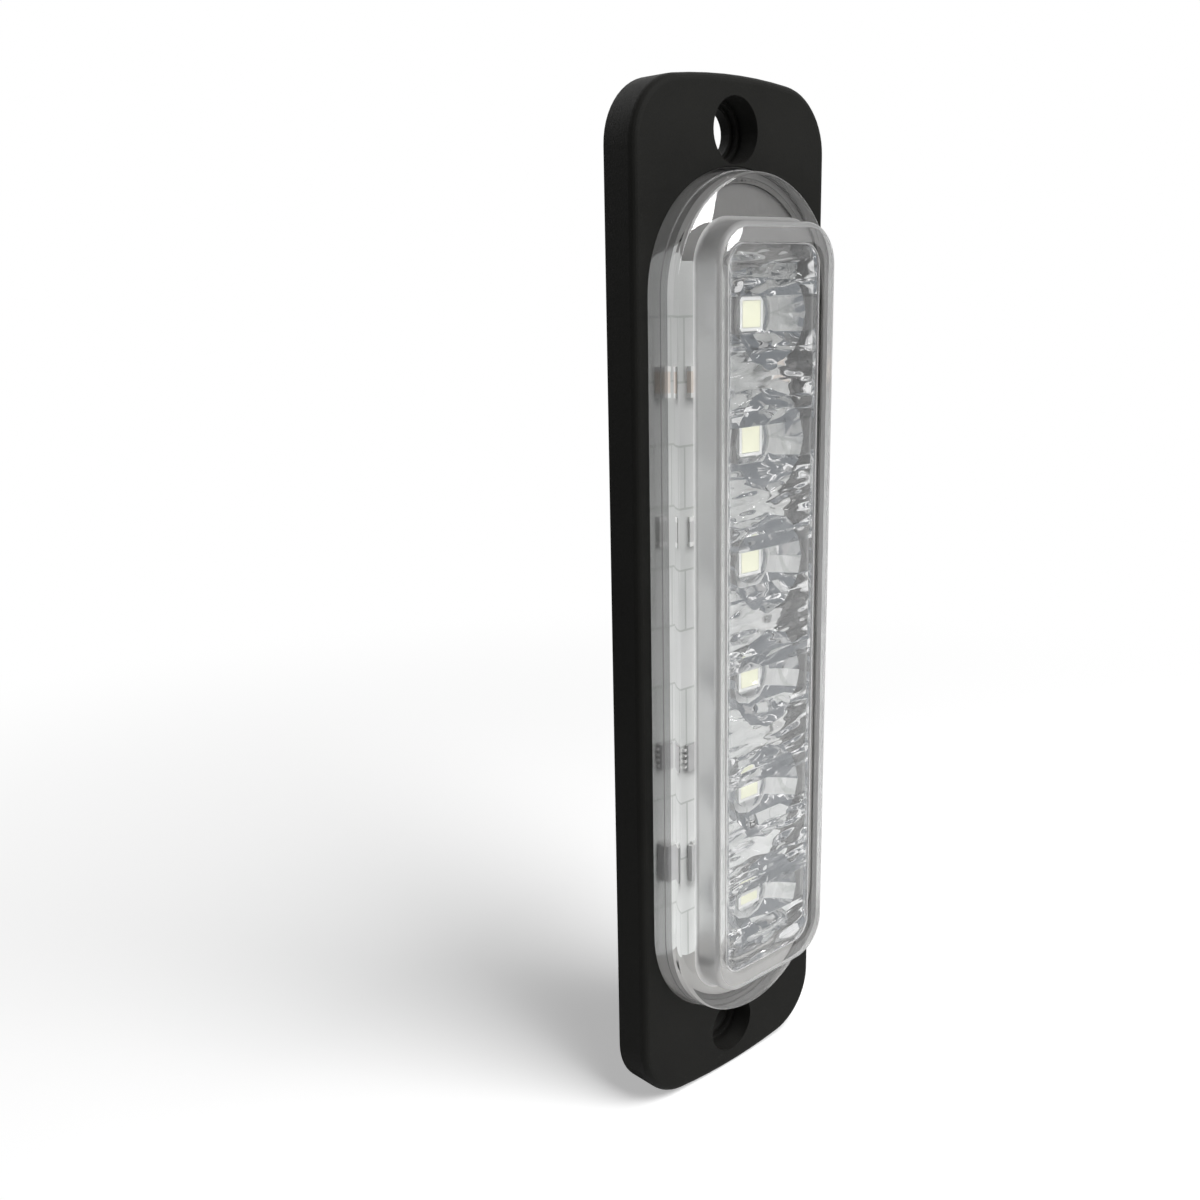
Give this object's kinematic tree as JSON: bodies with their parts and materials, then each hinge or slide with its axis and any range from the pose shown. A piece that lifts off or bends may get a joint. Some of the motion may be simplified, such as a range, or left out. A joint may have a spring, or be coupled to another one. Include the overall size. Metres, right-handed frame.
{
  "type": "brake light",
  "caption": "Slim surface-mount LED lamp pod: black base with a screw hole at each end, and a clear stepped cover over a strip of collimators.",
  "frame": {"origin": "middle of the flat back face, halfway between the two screw holes", "axes": "+Z along the lamp from its lower to its upper screw hole, -Y out of the lens towards the viewer, +Y into the panel that it is screwed to, +X to the right as seen from the front"},
  "size_m": [0.0296, 0.0106, 0.114],
  "materials": {
    "housing_black": "satin black moulded plastic with a fine grain",
    "cover_clear": "clear polished polycarbonate",
    "optic_clear": "clear polished acrylic",
    "board_white": "white solder mask on a metal-core board",
    "pad_grey": "soft grey heat-conducting pad",
    "resin_grey": "smooth grey potting resin",
    "seal_black": "black sealing bead",
    "grommet_black": "matt black rubber",
    "component_grey": "grey moulding compound with tinned leads",
    "capacitor_tan": "tan ceramic with tinned ends",
    "resistor_grey": "grey glaze with tinned ends",
    "led_white": "white ceramic",
    "phosphor_yellow": "pale yellow phosphor in silicone"
  },
  "bodies": {
    "root": {"housing": "housing_black", "lens_cover": "cover_clear", "optic_strip": "optic_clear", "circuit_board": "board_white", "thermal_pad": "pad_grey", "potting_resin": "resin_grey", "lens_seal": "seal_black", "cable_grommet": "grommet_black", "regulator_1": "component_grey", "regulator_2": "component_grey", "polarity_diode": "component_grey", "capacitor_1": "capacitor_tan", "capacitor_2": "capacitor_tan", "resistor_1": "resistor_grey", "resistor_2": "resistor_grey", "resistor_3": "resistor_grey", "resistor_4": "resistor_grey", "led_1": "led_white", "led_2": "led_white", "led_3": "led_white", "led_4": "led_white", "led_5": "led_white", "led_6": "led_white", "phosphor_1": "phosphor_yellow", "phosphor_2": "phosphor_yellow", "phosphor_3": "phosphor_yellow", "phosphor_4": "phosphor_yellow", "phosphor_5": "phosphor_yellow", "phosphor_6": "phosphor_yellow"}
  },
  "joints": []
}
